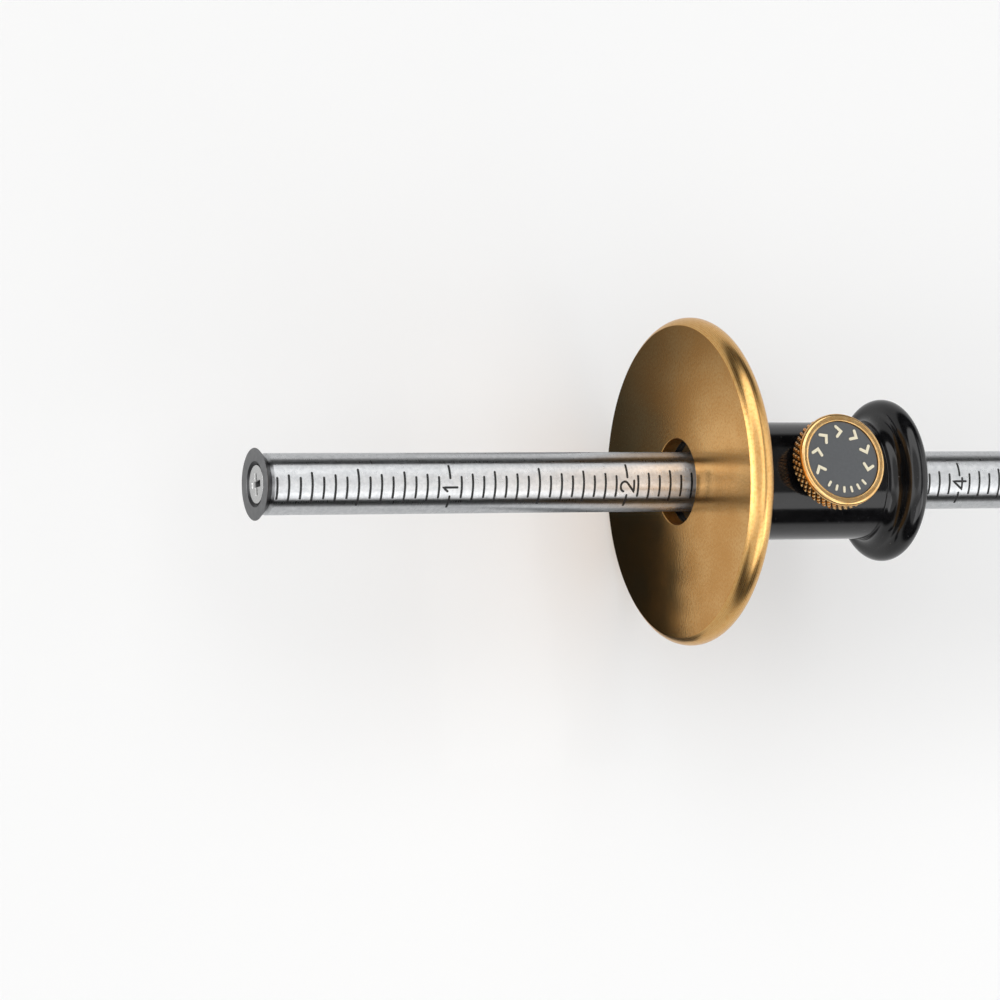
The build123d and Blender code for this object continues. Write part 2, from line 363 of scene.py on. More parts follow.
# --------------------------------------------------------------- grip collar
# Aluminium collar bonded on the hub's rear spigot and anodised with it. Its hollow sweeps up into a
# rounded rim for the finger and thumb, and its lip closes the groove that holds the rubber ring.
collar_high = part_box("grip_collar")[1]
collar_radius = collar_high.z
collar_rear = collar_high.x
collar_land = 0.5 * mm
cove_radius = 1.4 * mm
grip_radius = 1.6 * mm
lip_thickness = 1.0 * mm
groove_radius = 6.0 * mm
cove_start = seam_x + collar_land
cove_end = cove_start + cove_radius
grip_centre = (cove_end + grip_radius, collar_radius - grip_radius)
cove = arc((cove_start, hub_radius + cove_radius), cove_radius, 270, 360, 15)
grip = arc(grip_centre, grip_radius, 180, 0, 33)
collar_outline = rounded(
    np.concatenate([
        [(seam_x, groove_radius), (seam_x, hub_radius)],
        cove,
        grip,
        [
            (collar_rear, groove_radius),
            (collar_rear, bore_radius),
            (collar_rear - lip_thickness, bore_radius),
            (collar_rear - lip_thickness, groove_radius),
        ],
    ]),
    [0.02 * mm, seam_break] + [0] * (len(cove) + len(grip)) + [0.3 * mm, 0.2 * mm, 0.02 * mm, 0.02 * mm],
)
collar = turned("collar_grip", collar_outline, sides=224)
collar.data.materials.append(anodised)
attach(collar, "head")
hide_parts("grip_collar")


# -------------------------------------------------------------------- O-ring
# Moulded black rubber ring in the collar's groove: it drags on the rod so that the head stays put
# when the knob is loose. It stays the modelled ring, with a matt rubber finish.
def black_rubber():
    """Dull moulded rubber with a fine grain."""
    made, tree, shader = finish("black_rubber", (0.018, 0.018, 0.018), 0.0, 0.6)
    grain = speckle(tree, 6000, detail=4.0)
    colour = mixed_colour(tree, grain, (0.012, 0.012, 0.012), (0.030, 0.029, 0.028))
    tree.links.new(colour, shader.inputs["Base Color"])
    tree.links.new(span(tree, grain, 0.3, 0.7, 0.5, 0.75), shader.inputs["Roughness"])
    relief(tree, shader, grain, 4e-6)
    return made


def refinish(node_name, material):
    """Gives a CAD piece that keeps its shape a material of its own."""
    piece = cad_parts[node_name]
    piece.data.materials.clear()
    piece.data.materials.append(material)


refinish("o_ring", black_rubber())

# ----------------------------------------------------------------------- rod
# Centreless-ground steel rod with a satin surface, chamfered at both ends. The front end is drilled,
# tapped and countersunk for the cutter's screw.
rod_low, rod_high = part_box("rod")
screw_low, screw_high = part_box("cutter_screw")
rod_radius = rod_high.z
rod_front, rod_tail = rod_low.x, rod_high.x
nose_chamfer = 0.35 * mm
tail_chamfer = 0.5 * mm
rod_socket_radius = 2.24 * mm
rod_thread_radius = 1.47 * mm
tapped_past_screw = 1.0 * mm
rod_hole_end = screw_high.x + tapped_past_screw
countersink_lean = math.tan(math.radians(41))  # an 82 degree countersink


def ground_steel():
    """Satin steel with fine grinding lines round the rod and faint lengthwise handling marks."""
    made, tree, shader = finish("ground_steel", (0.68, 0.69, 0.70), 1.0, 0.38)
    shader.inputs["Anisotropic"].default_value = 1.0
    shader.inputs["Anisotropic Rotation"].default_value = 0.25
    round_rod = node(tree, "ShaderNodeTangent", {}, direction_type="RADIAL", axis="X").outputs[0]
    tree.links.new(round_rod, shader.inputs["Tangent"])
    lines = speckle(tree, 1.0, detail=4.0, roughness=0.65, stretch=(9000, 420, 420))
    marks = speckle(tree, 1.0, detail=3.0, stretch=(160, 2200, 2200))
    clouds = speckle(tree, 1600, detail=5.0, roughness=0.7)
    colour = mixed_colour(tree, span(tree, clouds, 0.3, 0.7), (0.59, 0.605, 0.62), (0.80, 0.81, 0.82))
    tree.links.new(colour, shader.inputs["Base Color"])
    gloss = span(tree, lines, 0.3, 0.7, 0.27, 0.37)
    gloss = sums(tree, "ADD", gloss, span(tree, marks, 0.35, 0.65, -0.03, 0.03))
    tree.links.new(gloss, shader.inputs["Roughness"])
    relief(tree, shader, lines, 1.6e-6)
    return made


rod_countersink_end = rod_front + (rod_socket_radius - rod_thread_radius) / countersink_lean
rod_outline = np.concatenate([
    [(rod_hole_end, 0)],
    rounded(
        [
            (rod_hole_end, rod_thread_radius),
            (rod_countersink_end, rod_thread_radius),
            (rod_front, rod_socket_radius),
            (rod_front, rod_radius - nose_chamfer),
            (rod_front + nose_chamfer, rod_radius),
            (rod_tail - tail_chamfer, rod_radius),
            (rod_tail, rod_radius - tail_chamfer),
        ],
        [0, 0.02 * mm, 0.03 * mm, 0.05 * mm, 0.06 * mm, 0.08 * mm, 0.08 * mm],
    ),
    [(rod_tail, 0)],
])
rod = turned("steel_rod", rod_outline, sides=192)
steel = ground_steel()
rod.data.materials.append(steel)
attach(rod, "rod")
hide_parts("rod")

# --------------------------------------------------------------------- scale
# Inch scale etched into the rod and filled with black, so that it reads from the fence's face to the
# cutter's edge: a line each sixteenth, longer at the eighth, quarter, half and inch, and inch numbers.
scale_angle = 22.75  # degrees from the top of the rod towards -Y
scale_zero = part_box("cutter_wheel")[0].x
sixteenth = 25.4 / 16 * mm
scale_inches = 6
line_width = 0.31 * mm
line_reach = {1: 21.7, 2: 26.3, 4: 31.2, 8: 37.0, 16: 42.3}  # half length, in degrees round the rod
number_gap = 17.5  # degrees each side of the middle that an inch line leaves for its number
number_height = 1.95 * mm
number_stroke = 0.30 * mm
fill_top = 0.008 * mm
fill_depth = 0.05 * mm
line_step = 0.42 * mm
number_step = 0.3 * mm


def stepped(path, step):
    """The path with extra points so that no stretch is longer than step, and its corners kept."""
    parts = []
    for start, end in zip(path[:-1], path[1:]):
        count = max(1, math.ceil(np.hypot(*(end - start)) / step))
        parts.append(start + (end - start) * np.linspace(0, 1, count, endpoint=False)[:, None])
    return np.concatenate([*parts, path[-1:]])


def stroke(path, width, low, high):
    """A bar of rectangular section carried along a flat path, as a grid of (across, along, height).

    Each station has four corners, half the width to either side of the path at heights low and high.
    The half width shrinks over the last half width at both ends, which rounds them, and grows by
    1 / cos(half the turn) at a bend."""
    ahead = np.diff(path, axis=0)
    ahead /= np.hypot(*ahead.T)[:, None]
    first, last = ahead[:1], ahead[-1:]
    ends = np.array([0.5, 0.42, 0.22])[:, None] * width
    path = np.concatenate([path[:1] - first * ends, path, path[-1:] + last * ends[::-1]])
    bisector = np.concatenate([first.repeat(4, 0), ahead[:-1] + ahead[1:], last.repeat(4, 0)])
    bisector /= np.hypot(*bisector.T)[:, None]
    cosine = np.concatenate([np.ones(4), np.sum(bisector[4:-4] * ahead[:-1], axis=1), np.ones(4)])
    half = width / 2 / np.maximum(cosine, 0.6)
    half[:3] = half[-3:][::-1] = width / 2 * np.array([0.12, 0.55, 0.9])
    side = np.stack([-bisector[:, 1], bisector[:, 0]], axis=1) * half[:, None]
    left, right = path + side, path - side
    corners = []
    for edge, level in ((left, low), (left, high), (right, high), (right, low)):
        corners.append(np.column_stack([edge, np.full(len(edge), level)]))
    grid = np.stack(corners, axis=1)
    middle = (low + high) / 2
    caps = [np.tile([*path[k], middle], (1, 4, 1)) for k in (0, -1)]
    return np.concatenate([caps[0], grid, caps[1]])


def on_rod(grid):
    """Wraps (distance along the rod, distance round it from the scale's middle, height) on the rod."""
    t = math.radians(scale_angle) + grid[..., 1] / rod_radius
    r = rod_radius + grid[..., 2]
    return np.stack([grid[..., 0], -r * np.sin(t), r * np.cos(t)], axis=-1)


# Each number's strokes in a cell one unit high, with its right and its top positive.
number_strokes = {
    1: [np.array([(0.14, 0.70), (0.40, 1.0), (0.40, 0.0)])],
    2: [np.concatenate([arc((0.38, 0.70), (0.34, 0.30), 165, -38), [(0.02, 0.0), (0.78, 0.0)]])],
    3: [
        arc((0.36, 0.755), (0.30, 0.245), 150, -90),
        arc((0.36, 0.255), (0.35, 0.255), 90, -152),
    ],
    4: [np.array([(0.60, 0.0), (0.60, 1.0), (0.04, 0.30), (0.82, 0.30)])],
    5: [
        np.concatenate([
            [(0.68, 1.0), (0.16, 1.0), (0.11, 0.56)],
            arc((0.38, 0.32), (0.34, 0.32), 130, -145),
        ]),
    ],
    6: [
        np.concatenate([[(0.60, 0.98)], arc((0.70, 0.32), (0.64, 0.66), 125, 172, 6)]),
        arc((0.39, 0.30), (0.33, 0.30), 0, 360, 25),
    ],
}

scale_lines = []
for n in range(1, 16 * scale_inches + 1):
    reach = line_reach[max(k for k in line_reach if n % k == 0)]
    stretches = [(-reach, -number_gap), (number_gap, reach)] if n % 16 == 0 else [(-reach, reach)]
    for stretch in stretches:
        ends = np.radians(stretch) * rod_radius - np.copysign(line_width / 2, stretch)
        if n % 16 == 0:
            ends = np.radians(stretch) * rod_radius
        at = np.full(2, scale_zero + n * sixteenth)
        path = stepped(np.stack([at, ends], axis=1), line_step)
        scale_lines.append(on_rod(stroke(path, line_width, -fill_depth, fill_top)))

scale_numbers = []
for inch, strokes in number_strokes.items():
    for drawn in strokes:
        along = scale_zero + 16 * inch * sixteenth - (drawn[:, 1] - 0.5) * number_height
        around = -(drawn[:, 0] - 0.4) * number_height
        path = stepped(np.stack([along, around], axis=1), number_step)
        scale_numbers.append(on_rod(stroke(path, number_stroke, -fill_depth, fill_top)))


def black_fill():
    """Matt black filling, a little uneven."""
    made, tree, shader = finish("black_fill", (0.02, 0.02, 0.02), 0.0, 0.55)
    grain = speckle(tree, 9000, detail=3.0)
    colour = mixed_colour(tree, grain, (0.004, 0.004, 0.0045), (0.016, 0.016, 0.017))
    tree.links.new(colour, shader.inputs["Base Color"])
    relief(tree, shader, grain, 3e-6)
    return made


fill = black_fill()
for name, grids in (("scale_lines", scale_lines), ("scale_numbers", scale_numbers)):
    marking = skin(name, grids, loop=False)
    marking.data.materials.append(fill)
    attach(marking, "rod")

# -------------------------------------------------------------- cutter wheel
# Hardened steel wheel on the end of the rod: flat outside, ground to a bevel behind, so that its edge
# stands in its outer face. It turns to bring up a fresh stretch of edge.
cutter_low, cutter_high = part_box("cutter_wheel")
cutter_radius = cutter_high.z
cutter_front, cutter_back = cutter_low.x, cutter_high.x
bevel_width = 1.05 * mm
mouth_radius = 3.0 * mm
seat_radius = 2.52 * mm
screw_head_sink = 0.35 * mm


def hardened_steel():
    """Dark satin tool steel with fine lathe rings, and painted shade on the bevel, bore and screw seat
    behind its flat face.
    """
    made, tree, shader = finish("hardened_steel", (0.20, 0.202, 0.205), 1.0, 0.36)
    marks = turning_marks(tree, 0.05 * mm)
    along = from_axis(tree)[0]["X"]
    clouds = speckle(tree, 900, detail=4.0)
    colour = mixed_colour(tree, span(tree, clouds, 0.3, 0.7), (0.20, 0.202, 0.206), (0.27, 0.272, 0.276))
    # painted shade: all of the wheel behind its flat face (bevel, bore, screw seat) is painted near black
    behind = sums(tree, "GREATER_THAN", along, cutter_front + 0.04 * mm)
    colour = mixed_colour(tree, behind, colour, (0.05, 0.05, 0.052))
    tree.links.new(colour, shader.inputs["Base Color"])
    tree.links.new(span(tree, marks, 0.3, 0.7, 0.28, 0.42), shader.inputs["Roughness"])
    relief(tree, shader, marks, 1.5e-6)
    return made


cutter_outline = rounded(
    [
        (cutter_front, mouth_radius),
        (cutter_front, cutter_radius),
        (cutter_back, cutter_radius - bevel_width),
        (cutter_back, rod_socket_radius),
        (cutter_front + screw_head_sink, seat_radius),
    ],
    [0.06 * mm, 0.01 * mm, 0.04 * mm, 0.02 * mm, 0.02 * mm],
)
cutter = turned("cutting_wheel", cutter_outline, sides=192)
cutter.data.materials.append(hardened_steel())
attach(cutter, "cutter")
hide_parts("cutter_wheel")

# -------------------------------------------------------------- cutter screw
# Bright plated countersunk machine screw that clamps the wheel to the rod, with a punched cross
# recess for the driver.
head_radius = screw_high.z
screw_front, screw_tip = screw_low.x, screw_high.x
head_rim = 0.15 * mm
head_edge_break = 0.08 * mm
screw_radius = 1.42 * mm
recess_half_span = 1.5 * mm
recess_half_width = 0.42 * mm
recess_depth = 1.25 * mm
recess_wall = math.tan(math.radians(14))  # how far a wall leans in for each unit of depth
recess_floor = math.tan(math.radians(58))
recess_turn = math.radians(8)
screw_sides = 256


def cross_recess(y, z):
    """Depth of the recess at a point of the head: the deeper of two crossed tapering slots.

    Each slot is as deep as the distance to its side over the wall's lean, but no deeper than the
    distance to its end times the floor's slope, and no deeper than the whole recess."""
    depths = []
    for along, across in ((y, z), (z, y)):
        side = (recess_half_width - np.abs(across)) / recess_wall
        end = (recess_half_span - np.abs(along)) * recess_floor
        depths.append(np.minimum(side, end))
    return np.clip(np.maximum(*depths), 0, recess_depth)


def plated_steel():
    """Bright zinc plating, slightly clouded and scuffed, with painted shade that darkens it from its face
    inwards, into the cross recess and below the head's rim.
    """
    made, tree, shader = finish("plated_screw", (0.80, 0.80, 0.79), 1.0, 0.25)
    clouds = speckle(tree, 2600, detail=4.0)
    colour = mixed_colour(tree, span(tree, clouds, 0.3, 0.7), (0.84, 0.84, 0.83), (0.74, 0.74, 0.735))
    sunk = from_axis(tree)[0]["X"]
    # painted shade: darker with depth behind the head's face, so the cross recess and the cone under the
    # rim go near black
    painted_shade = span(tree, sunk, screw_front + 0.05 * mm, screw_front + 0.5 * mm)
    colour = mixed_colour(tree, painted_shade, colour, (0.05, 0.05, 0.05))
    tree.links.new(colour, shader.inputs["Base Color"])
    tree.links.new(span(tree, clouds, 0.3, 0.7, 0.2, 0.36), shader.inputs["Roughness"])
    relief(tree, shader, clouds, 3e-6)
    return made


cone_reach = (head_radius - screw_radius) / countersink_lean
head_ring_count = 60
head_rings = np.linspace(0, head_radius - head_edge_break, head_ring_count)
screw_side = rounded(
    [
        (screw_front, head_radius),
        (screw_front + head_rim, head_radius),
        (screw_front + head_rim + cone_reach, screw_radius),
        (screw_tip, screw_radius),
        (screw_tip, 0),
        (screw_front, 0),
    ],
    [head_edge_break, 0.04 * mm, 0, 0.2 * mm, 0, 0],
)[1:-2]
screw_outline = np.concatenate([
    np.stack([np.full(head_ring_count, screw_front), head_rings], axis=1),
    screw_side,
    [(screw_tip, 0)],
])
round_screw = np.linspace(0, 2 * np.pi, screw_sides, endpoint=False)
screw_grid = np.stack(
    np.broadcast_arrays(
        screw_outline[:, 0, None],
        screw_outline[:, 1, None] * np.cos(round_screw),
        screw_outline[:, 1, None] * np.sin(round_screw),
    ),
    axis=-1,
).copy()
head = screw_grid[:head_ring_count]
spun_y = head[..., 1] * math.cos(recess_turn) + head[..., 2] * math.sin(recess_turn)
spun_z = head[..., 2] * math.cos(recess_turn) - head[..., 1] * math.sin(recess_turn)
head[..., 0] += cross_recess(spun_y, spun_z)
screw = skin("recess_screw", [screw_grid], loop=False)
screw.data.materials.append(plated_steel())
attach(screw, "rod")
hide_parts("cutter_screw")

# --------------------------------------------------------------- lock stud
# Threaded steel stud pressed into the knob. Its thread runs in the hub's cross hole and it pushes the
# nylon slug on the rod.
thread_pitch = 25.4 / 32 * mm
thread_depth = 0.42 * mm
stud_radius = stud_high.y
stud_bottom, stud_top = stud_low.z, stud_high.z
stud_tip_chamfer = 0.4 * mm
stud_plain_top = 1.75 * mm  # the plain stretch that is pressed into the knob
thread_flank = 1.6  # steepness of a flank: above 1 it leaves flat crests and roots
thread_crest = 0.3
stud_rings = 121
stud_sides = 72


def threaded_stud():
    """A right-hand thread as a surface of height z and angle t.

    The radius falls from the crest by the depth times a wave of (z / pitch - t / full turn) with
    flat crests and roots, and is limited near the tip by the chamfer and near the knob by a run-out."""
    z = np.linspace(stud_bottom, stud_top, stud_rings)[:, None]
    t = np.linspace(0, 2 * np.pi, stud_sides, endpoint=False)
    phase = np.mod(z / thread_pitch - t / (2 * np.pi), 1)
    groove = np.clip(thread_flank * (1 - np.abs(2 * phase - 1)) - thread_crest, 0, 1)
    run_out = np.clip((stud_top - stud_plain_top - z) / thread_pitch, 0, 1)
    radius = stud_radius - thread_depth * groove * run_out
    radius = np.minimum(radius, stud_radius - stud_tip_chamfer + (z - stud_bottom))
    grid = np.stack([knob_x + radius * np.cos(t), radius * np.sin(t), z + 0 * t], axis=-1)
    ends = [np.tile([knob_x, 0, height], (1, stud_sides, 1)) for height in (stud_bottom, stud_top)]
    return skin("threaded_stud", [np.concatenate([ends[0], grid, ends[1]])], loop=False)


stud = threaded_stud()
stud.data.materials.append(steel)
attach(stud, "lock_screw")
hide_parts("lock_stud")


# ------------------------------------------------------------- pressure pad
# Nylon slug under the stud, so that locking doesn't mark the rod. It stays the modelled slug.
def nylon():
    """Milky white nylon."""
    made, tree, shader = finish("nylon", (0.80, 0.78, 0.72), 0.0, 0.45)
    grain = speckle(tree, 3000, detail=3.0)
    colour = mixed_colour(tree, grain, (0.84, 0.82, 0.77), (0.72, 0.70, 0.64))
    tree.links.new(colour, shader.inputs["Base Color"])
    relief(tree, shader, grain, 3e-6)
    return made


refinish("pressure_pad", nylon())

# ----------------------------------------------------------------- lock knob
# Turned brass thumb knob with a diamond knurl and a polished lip round the badge. The stud is pressed
# into its underside, so it screws up and down with it.
knob_low, knob_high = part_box("lock_knob")
badge_low, badge_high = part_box("knob_badge")
knob_radius = knob_high.y
knob_bottom, knob_top = knob_low.z, knob_high.z
badge_radius = badge_high.y
knob_lip = 0.5 * mm
knob_foot = 0.35 * mm
lip_hollow = 0.012 * mm
lip_hollow_half_width = 0.12 * mm
lip_break = 0.12 * mm
knob_socket_depth = 1.7 * mm
knurl_teeth = 46
knurl_depth = 0.30 * mm
knurl_rows = 3
knurl_flank = 1.6  # steepness of a groove's side: above 1 it leaves flat-topped diamonds
knurl_fade = 4  # the knurl reaches its full height within 1 / knurl_fade of a row
knurl_end_drop = 0.12 * mm
badge_gap = 0.01 * mm
cells_per_tooth = 8


def knurled_knob():
    """The knob's outline carried round its axis, with the knurl cut into its side.

    Two families of V grooves wind up the side in opposite senses. With u = teeth x turn and
    v = rows x height, each family's wave is the distance of u + v / 2 or u - v / 2 from the nearest
    whole number, doubled, and the metal that is left stands as high as the lower of the two."""
    columns = knurl_teeth * cells_per_tooth
    t = np.linspace(0, 2 * np.pi, columns, endpoint=False)
    side_low, side_high = knob_bottom + knob_foot, knob_top - knob_lip
    heights = np.linspace(side_low, side_high, knurl_rows * cells_per_tooth + 1)
    lip_in = badge_radius + badge_gap
    lip_middle = (lip_in + knob_radius - knob_lip) / 2
    below = rounded(
        [
            (knob_bottom, stud_radius),
            (knob_bottom, knob_radius - knob_foot - knurl_depth / 2),
            (side_low, knob_radius - knurl_depth),
            (side_high, knob_radius - knurl_depth),
        ],
        [0, 0.08 * mm, 0, 0],
    )[:-2]
    above = arc((knob_top - knob_lip, knob_radius - knob_lip), knob_lip, 90, 0, 11)
    above = np.concatenate([
        above,
        [
            (knob_top - lip_hollow, lip_middle + lip_hollow_half_width),
            (knob_top - lip_hollow, lip_middle - lip_hollow_half_width),
        ],
        arc((knob_top - lip_break, lip_in + lip_break), lip_break, 0, -90, 7),
        [(badge_low.z, lip_in), (badge_low.z, 0.0)],
    ])
    socket_top = knob_bottom + knob_socket_depth
    plain_below = np.concatenate([[(socket_top, 0), (socket_top, stud_radius)], below])
    knurled = np.stack([heights, np.full(len(heights), knob_radius)], axis=1)
    outline = np.concatenate([plain_below, knurled, above])
    along, radius = outline[:, 0, None], outline[:, 1, None] + 0 * t
    u = knurl_teeth * t / (2 * np.pi)
    v = knurl_rows * (heights[:, None] - side_low) / (side_high - side_low)
    first = 2 * np.abs(u + v / 2 - np.round(u + v / 2))
    second = 2 * np.abs(u - v / 2 - np.round(u - v / 2))
    metal = np.minimum(knurl_flank * np.minimum(first, second), 1)
    edge = np.clip(np.minimum(v, knurl_rows - v) * knurl_fade, 0, 1)
    rows = slice(len(plain_below), len(plain_below) + len(heights))
    radius[rows] -= knurl_depth * (1 - metal)
    radius[rows] = np.minimum(radius[rows], knob_radius - knurl_end_drop * (1 - edge))
    grid = np.stack([knob_x + radius * np.cos(t), radius * np.sin(t), along + 0 * t], axis=-1)
    return skin("knurled_knob", [grid], loop=False)


def knurled_brass():
    """Polished brass with painted shade in the bottom of the knurl."""
    made, tree, shader = finish("knurled_brass", brass_light, 1.0, 0.2)
    marks = turning_marks(tree, 0.05 * mm, "Z", knob_x)
    place, radius = from_axis(tree, "Z", knob_x)
    # painted shade: the bottom of the knurl's grooves, below the lip, is painted near black and made
    # rougher
    cut = span(tree, radius, knob_radius - 0.10 * mm, knob_radius - 0.24 * mm)
    below_lip = sums(tree, "LESS_THAN", place["Z"], knob_top - knob_lip)
    painted_shade = sums(tree, "MULTIPLY", cut, below_lip)
    clouds = speckle(tree, 1500, detail=4.0)
    polished = mixed_colour(tree, span(tree, clouds, 0.3, 0.7), (0.95, 0.64, 0.30), (0.88, 0.50, 0.18))
    colour = mixed_colour(tree, painted_shade, polished, (0.02, 0.013, 0.008))
    tree.links.new(colour, shader.inputs["Base Color"])
    gloss = sums(tree, "ADD", span(tree, marks, 0.3, 0.7, 0.16, 0.26), sums(tree, "MULTIPLY", painted_shade, 0.3))
    tree.links.new(gloss, shader.inputs["Roughness"])
    relief(tree, shader, marks, 0.8e-6)
    return made


knob = knurled_knob()
knob.data.materials.append(knurled_brass())
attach(knob, "lock_screw")
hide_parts("lock_knob")

# --------------------------------------------------------------- knob badge
# Thin grey enamelled disc bonded in the knob, with a plain raised ornament in cream: a row of
# chevrons that point the way to tighten, and a row of short bars below.
badge_top = badge_high.z
badge_bottom = badge_low.z
ornament_height = 0.09 * mm
ornament_root = 0.1 * mm  # how deep the ornament is bonded in the badge
chevron_count = 7
chevron_ring = 3.85 * mm
chevron_size = 1.35 * mm
chevron_stroke = 0.40 * mm
chevron_span = 216.0  # degrees round the badge
bar_count = 6
bar_ring = 4.15 * mm
bar_half_length = 0.28 * mm
bar_span = 78.0
bar_stroke = 0.34 * mm
ornament_top = 92.0  # direction of the ornament's middle, degrees from +X


def grey_enamel():
    """Satin grey enamel with a fine orange-peel."""
    made, tree, shader = finish("grey_enamel", (0.13, 0.14, 0.145), 0.0, 0.42)
    grain = speckle(tree, 2600, detail=3.0)
    colour = mixed_colour(tree, grain, (0.074, 0.079, 0.085), (0.100, 0.106, 0.112))
    tree.links.new(colour, shader.inputs["Base Color"])
    tree.links.new(span(tree, grain, 0.3, 0.7, 0.36, 0.50), shader.inputs["Roughness"])
    relief(tree, shader, grain, 3e-6)
    return made


def cream_metal():
    """Pale gilt left bright on top of the raised ornament."""
    made, tree, shader = finish("cream_gilt", (0.86, 0.78, 0.58), 0.6, 0.35)
    grain = speckle(tree, 5000, detail=3.0)
    colour = mixed_colour(tree, grain, (0.98, 0.93, 0.76), (0.92, 0.82, 0.58))
    tree.links.new(colour, shader.inputs["Base Color"])
    relief(tree, shader, grain, 2e-6)
    return made


badge_outline = np.concatenate([
    [(badge_bottom, 0)],
    rounded(
        [(badge_bottom, badge_radius), (badge_top, badge_radius), (badge_top, 0), (badge_bottom, 0)],
        [0.05 * mm, 0.08 * mm, 0, 0],
    )[:-2],
    [(badge_top, 0)],
])
badge = turned("badge_plate", badge_outline, 128, up_knob, (knob_x, 0, 0))
badge.data.materials.append(grey_enamel())
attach(badge, "lock_screw")
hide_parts("knob_badge")


def on_badge(path, width, turn, ring):
    """A raised stroke at a ring's radius: the path's first axis runs round the badge, its second out."""
    grid = stroke(path + np.array([0, ring]), width, -ornament_root, ornament_height)
    a = math.radians(turn) - math.pi / 2
    across, outward, height = grid[..., 0], grid[..., 1], grid[..., 2]
    x = knob_x + across * math.cos(a) - outward * math.sin(a)
    y = across * math.sin(a) + outward * math.cos(a)
    return np.stack([x, y, badge_top + height], axis=-1)


ornament_grids = []
arm = chevron_size / 2
chevron = np.array([(-0.45 * arm, arm), (0.55 * arm, 0), (-0.45 * arm, -arm)])
for turn in np.linspace(-chevron_span / 2, chevron_span / 2, chevron_count):
    ornament_grids.append(on_badge(chevron, chevron_stroke, ornament_top + turn, chevron_ring))
bar = np.array([(0, -bar_half_length), (0, bar_half_length)])
for turn in np.linspace(-bar_span / 2, bar_span / 2, bar_count):
    ornament_grids.append(on_badge(bar, bar_stroke, ornament_top + 180 + turn, bar_ring))
ornament = skin("badge_ornament", ornament_grids, loop=False)
ornament.data.materials.append(cream_metal())
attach(ornament, "lock_screw")

# --------------------------------------------------------------------- floor
# A plain pale sheet under the gauge, which rests on the rim of its fence.
floor_level = fence_low.z
floor_half = 4.0
floor_glow = 0.26
floor_mesh = bpy.data.meshes.new("floor")
floor_signs = [(-1, -1), (1, -1), (1, 1), (-1, 1)]
floor_corners = [(x * floor_half, y * floor_half, floor_level) for x, y in floor_signs]
floor_mesh.from_pydata(floor_corners, [], [(0, 1, 2, 3)])
floor = bpy.data.objects.new("floor", floor_mesh)
bpy.context.scene.collection.objects.link(floor)
floor_paper, _, floor_shader = finish("pale_paper", (0.62, 0.62, 0.618), 0.0, 0.9)
floor_shader.inputs["Emission Color"].default_value = (1, 1, 1, 1)
floor_shader.inputs["Emission Strength"].default_value = floor_glow
floor_mesh.materials.append(floor_paper)
floor.visible_glossy = False

# --------------------------------------------------------------------- light
# Soft studio light: a tent that is bright at both ends of the rod, dim overhead, dark at the level of
# the table's edge along its sides and pale below, with softboxes and a shaded card before the fence.
tent_overhead = 0.20
tent_left = 1.9
tent_left_front = 0.32  # what is left of tent_left on its -Y side
tent_right = 1.15
tent_band = 0.0
tent_below = 0.72
tent_below_left = 0.60
backdrop = 1.0
camera_side = (-0.41, 0.0, 0.91)  # towards the camera's stand, which is a dark patch in the tent
camera_patch = 0.40  # what is left of the tent's light there
tent_band_tilt = 0.25  # how much higher the dark band lies on the +Y side


def tent():
    """The world: its brightness depends on how high and how far along the rod the direction looks.

    Above the table a dim strip across the rod parts the bright ends. The left end is dimmer on the -Y
    side, and a patch on the camera's side is dim too. A dark band lies between above and below, higher
    on the +Y side, and fades towards the ends. The camera sees the backdrop."""
    world = bpy.data.worlds.new("tent")
    world.use_nodes = True
    bpy.context.scene.world = world
    tree = world.node_tree
    direction = node(tree, "ShaderNodeTexCoord", {}).outputs["Generated"]
    split = node(tree, "ShaderNodeSeparateXYZ", {"Vector": direction}).outputs
    left = span(tree, split["X"], 0.40, 0.32, 0.0, tent_left - tent_overhead)
    left = sums(tree, "MULTIPLY", left, span(tree, split["Y"], -0.62, -0.42, tent_left_front, 1.0))
    right = span(tree, split["X"], 0.56, 0.66, 0.0, tent_right - tent_overhead)
    above = sums(tree, "ADD", tent_overhead, sums(tree, "ADD", left, right))
    nearness = node(tree, "ShaderNodeVectorMath", {0: direction, 1: camera_side}, operation="DOT_PRODUCT")
    patch = span(tree, nearness.outputs["Value"], 0.84, 0.92, 1.0, camera_patch)
    above = sums(tree, "MULTIPLY", above, patch)
    to_ends = span(tree, sums(tree, "ABSOLUTE", split["X"]), 0.72, 0.92)
    height = sums(tree, "SUBTRACT", split["Z"], span(tree, split["Y"], -0.3, 0.3, 0.0, tent_band_tilt))
    rising = sums(tree, "MAXIMUM", span(tree, height, 0.22, 0.28), to_ends)
    falling = sums(tree, "MAXIMUM", span(tree, height, -0.19, -0.32), to_ends)
    below = span(tree, split["X"], -0.2, 0.3, tent_below_left, tent_below)
    is_above = sums(tree, "GREATER_THAN", height, 0.0)
    upper = mixed_value(tree, rising, tent_band, above)
    lower = mixed_value(tree, falling, tent_band, below)
    around = mixed_value(tree, is_above, lower, upper)
    seen = node(tree, "ShaderNodeLightPath", {}).outputs["Is Camera Ray"]
    level = mixed_value(tree, seen, around, backdrop)
    tree.links.new(level, tree.nodes["Background"].inputs["Strength"])
    tree.nodes["Background"].inputs["Color"].default_value = (1, 1, 1, 1)


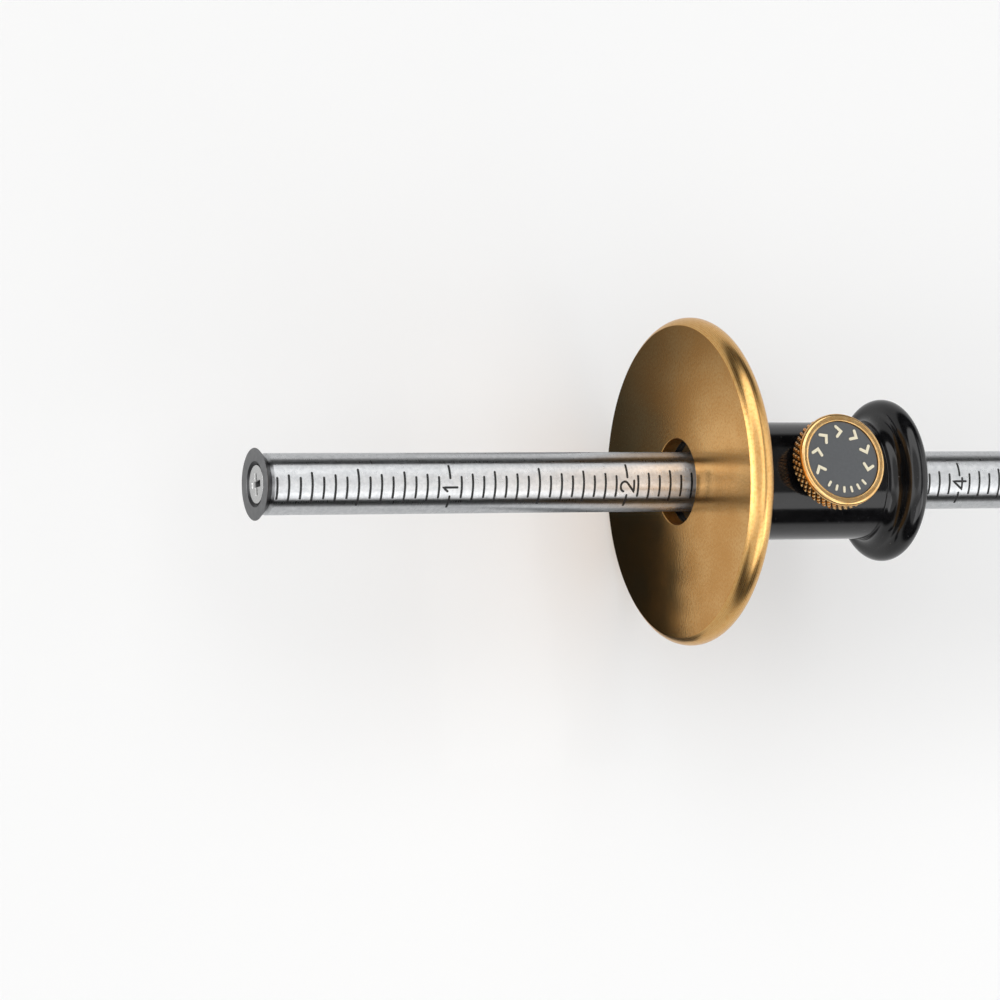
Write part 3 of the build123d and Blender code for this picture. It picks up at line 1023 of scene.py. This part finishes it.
def softbox(name, direction, distance, width, height, brightness):
    """An area light aimed at the gauge; its power gives its face that brightness."""
    lamp = bpy.data.lights.new(name, "AREA")
    lamp.shape = "RECTANGLE"
    lamp.size, lamp.size_y = width, height
    lamp.energy = brightness * math.pi * width * height
    holder = bpy.data.objects.new(name, lamp)
    bpy.context.scene.collection.objects.link(holder)
    away = Vector(direction).normalized()
    aimed = away.to_track_quat("Z", "Y").to_matrix().to_4x4()
    holder.matrix_world = Matrix.Translation(away * distance) @ aimed


tent()
softbox("main_softbox", (0.47, -0.74, 0.52), 0.9, 0.9, 0.44, 1.4)
softbox("left_softbox", (-0.96, 0.10, 0.10), 0.8, 0.60, 0.36, 1.8)

card_length = 28 * mm
card_half_width = 34 * mm
card_lift = 0.1 * mm
card_smear = 1.6 * mm


def shaded_card():
    """A card before the fence that only mirrors see, for the shade in the fence's lapped face.

    With x the distance before the fence and y across, the near part is dark and the far part pale.
    The change lies further out and is sharper on the -Y side than on the +Y side."""
    mesh = bpy.data.meshes.new("shaded_card")
    corners = [(-card_length, -1), (0, -1), (0, 1), (-card_length, 1)]
    level = floor_level + card_lift
    mesh.from_pydata([(x, y * card_half_width, level) for x, y in corners], [], [(0, 1, 2, 3)])
    card = bpy.data.objects.new("shaded_card", mesh)
    bpy.context.scene.collection.objects.link(card)
    made, tree, shader = finish("shaded_card", (0, 0, 0), 0.0, 1.0)
    place = node(tree, "ShaderNodeTexCoord", {}).outputs["Object"]
    split = node(tree, "ShaderNodeSeparateXYZ", {"Vector": place}).outputs
    smears = speckle(tree, 130, detail=4.0, roughness=0.6, stretch=(1, 0.6, 1))
    out = sums(tree, "ADD", split["X"], span(tree, smears, 0.3, 0.7, -card_smear, card_smear))
    near_side = span(tree, out, -9.8 * mm, -11.2 * mm, 0.008, 0.62)
    shade = span(tree, out, -4 * mm, -12 * mm, 0.05, 0.13)
    pale = span(tree, out, -10.5 * mm, -18 * mm)
    towards_rod = span(tree, split["Y"], 28 * mm, 6 * mm, 0.1, 0.8)
    pale = sums(tree, "MULTIPLY", sums(tree, "POWER", pale, 1.5), towards_rod)
    far_side = sums(tree, "ADD", shade, pale)
    side = span(tree, split["Y"], 0, 7 * mm)
    level = mixed_value(tree, side, near_side, far_side)
    tint = mixed_colour(tree, span(tree, level, 0.0, 0.12), (0.3, 0.8, 1.5), (1, 1, 1))
    tree.links.new(tint, shader.inputs["Emission Color"])
    tree.links.new(level, shader.inputs["Emission Strength"])
    mesh.materials.append(made)
    card.visible_camera = False
    card.visible_diffuse = False
    card.visible_shadow = False


shaded_card()

# -------------------------------------------------------------------- camera
# A long lens that looks down on the gauge from beyond the cutter.
view_aim = Vector((-25.84, -2.18, -0.55)) * mm
view_distance = 487.8 * mm
view_azimuth = math.radians(-61.64)
view_elevation = math.radians(61.91)
view_roll = math.radians(0.474)
back = Vector((
    math.sin(view_azimuth) * math.cos(view_elevation),
    -math.cos(view_azimuth) * math.cos(view_elevation),
    math.sin(view_elevation),
))
along_image = Vector((1, 0, 0)) - back * back.x
right = Matrix.Rotation(-view_roll, 3, back) @ along_image.normalized()
lens = bpy.data.cameras.new("camera")
lens.sensor_width = 36.0
lens.lens = 134.55
lens.clip_start = 0.01
camera = bpy.data.objects.new("camera", lens)
camera.matrix_world = Matrix.Translation(view_aim + back * view_distance) @ Matrix(
    (right, back.cross(right), back)
).transposed().to_4x4()
bpy.context.scene.collection.objects.link(camera)
bpy.context.scene.camera = camera
bpy.context.scene.view_settings.view_transform = "Standard"
